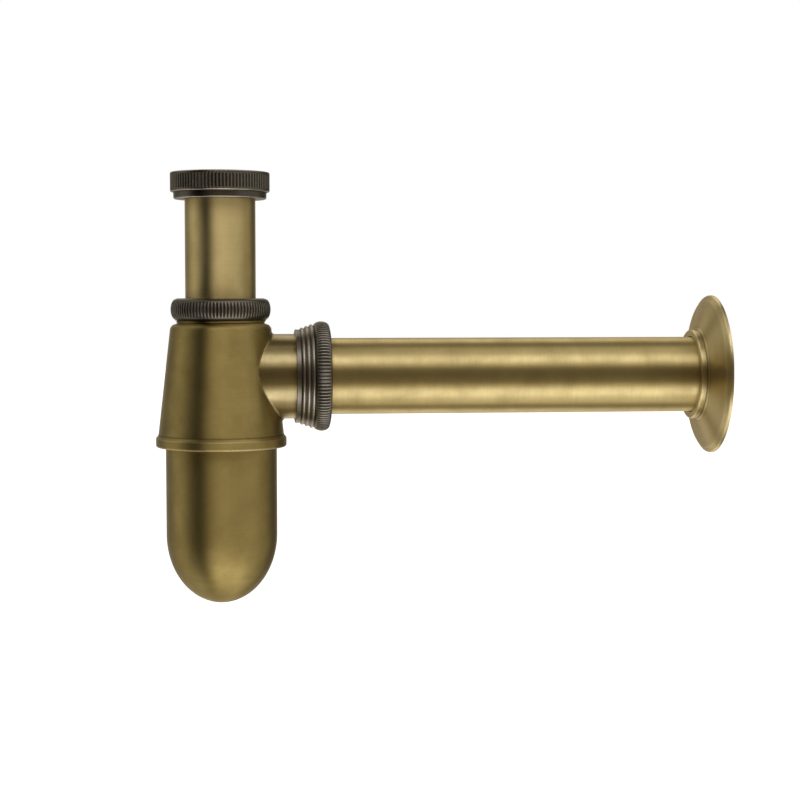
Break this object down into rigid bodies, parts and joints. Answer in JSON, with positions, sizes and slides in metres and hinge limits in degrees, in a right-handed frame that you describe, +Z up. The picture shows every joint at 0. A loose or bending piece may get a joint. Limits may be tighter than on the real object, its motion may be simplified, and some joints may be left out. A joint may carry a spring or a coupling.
{
  "type": "bottle trap",
  "caption": "Bottle trap for a basin: inlet tube with union nut, conical body with screw-off bowl, side outlet tube and sliding wall flange.",
  "frame": {"origin": "where the inlet axis meets the top plane of the inlet union nut", "axes": "+Z up along the inlet to the basin waste, +X along the outlet to the wall"},
  "size_m": [0.2618, 0.074, 0.1965],
  "materials": {
    "antique_brass": "satin antique brass",
    "dark_bronze": "oil-rubbed dark bronze on brass",
    "black_rubber": "matte black rubber",
    "white_nylon": "natural nylon"
  },
  "bodies": {
    "inlet": {"inlet_tube": "antique_brass", "inlet_washer": "black_rubber"},
    "inlet_nut": {"inlet_nut": "dark_bronze"},
    "inlet_seal": {"body_cone_washer": "black_rubber"},
    "body": {"trap_body": "antique_brass", "outlet_cone_washer": "black_rubber"},
    "body_slip_ring": {"body_slip_ring": "white_nylon"},
    "body_nut": {"body_nut": "dark_bronze"},
    "bowl_gasket": {"bowl_gasket": "black_rubber"},
    "bowl": {"bowl": "antique_brass"},
    "outlet_slip_ring": {"outlet_slip_ring": "white_nylon"},
    "outlet_nut": {"outlet_nut": "dark_bronze"},
    "outlet_tube": {"outlet_tube": "antique_brass"},
    "flange_grip_ring": {"flange_grip_ring": "black_rubber"},
    "wall_flange": {"wall_flange": "antique_brass"}
  },
  "joints": [
    {"name": "inlet_nut_turn", "type": "hinge", "parent": "inlet", "child": "inlet_nut", "pos_m": [0, 0, -0.006], "axis": [0, 0, 1], "continuous": true},
    {"name": "height_slide", "type": "slide", "parent": "inlet", "child": "inlet_seal", "axis": [0, 0, 1], "range_m": [-0.011, 0.015]},
    {"name": "outlet_swivel", "type": "hinge", "parent": "inlet_seal", "child": "body", "pos_m": [0, 0, -0.0927], "axis": [0, 0, 1], "continuous": true},
    {"name": "body_nut_rise", "type": "slide", "parent": "body", "child": "body_slip_ring", "axis": [0, 0, 1], "range_m": [0, 0.00578]},
    {"name": "body_nut_turn", "type": "hinge", "parent": "body_slip_ring", "child": "body_nut", "pos_m": [0, 0, -0.062], "axis": [0, 0, 1], "range_deg": [0, 900]},
    {"name": "bowl_drop", "type": "slide", "parent": "body", "child": "bowl_gasket", "axis": [0, 0, -1], "range_m": [0, 0.00601]},
    {"name": "bowl_turn", "type": "hinge", "parent": "bowl_gasket", "child": "bowl", "pos_m": [0, 0, -0.12], "axis": [0, 0, -1], "range_deg": [0, 1080]},
    {"name": "outlet_nut_advance", "type": "slide", "parent": "body", "child": "outlet_slip_ring", "axis": [1, 0, 0], "range_m": [0, 0.0104]},
    {"name": "outlet_nut_turn", "type": "hinge", "parent": "outlet_slip_ring", "child": "outlet_nut", "pos_m": [0.042, 0, -0.0927], "axis": [1, 0, 0], "range_deg": [0, 1620]},
    {"name": "outlet_tube_slide", "type": "slide", "parent": "body", "child": "outlet_tube", "axis": [1, 0, 0], "range_m": [-0.01, 0.01]},
    {"name": "flange_slide", "type": "slide", "parent": "outlet_tube", "child": "flange_grip_ring", "axis": [-1, 0, 0], "range_m": [0, 0.14]},
    {"name": "flange_turn", "type": "hinge", "parent": "flange_grip_ring", "child": "wall_flange", "pos_m": [0.226, 0, -0.0927], "axis": [1, 0, 0], "continuous": true}
  ],
  "couplings": [
    {"joint": "body_nut_rise", "follows": "body_nut_turn", "m_per_rad": 0.00036749},
    {"joint": "bowl_drop", "follows": "bowl_turn", "m_per_rad": 0.00031831},
    {"joint": "outlet_nut_advance", "follows": "outlet_nut_turn", "m_per_rad": 0.00036749}
  ]
}
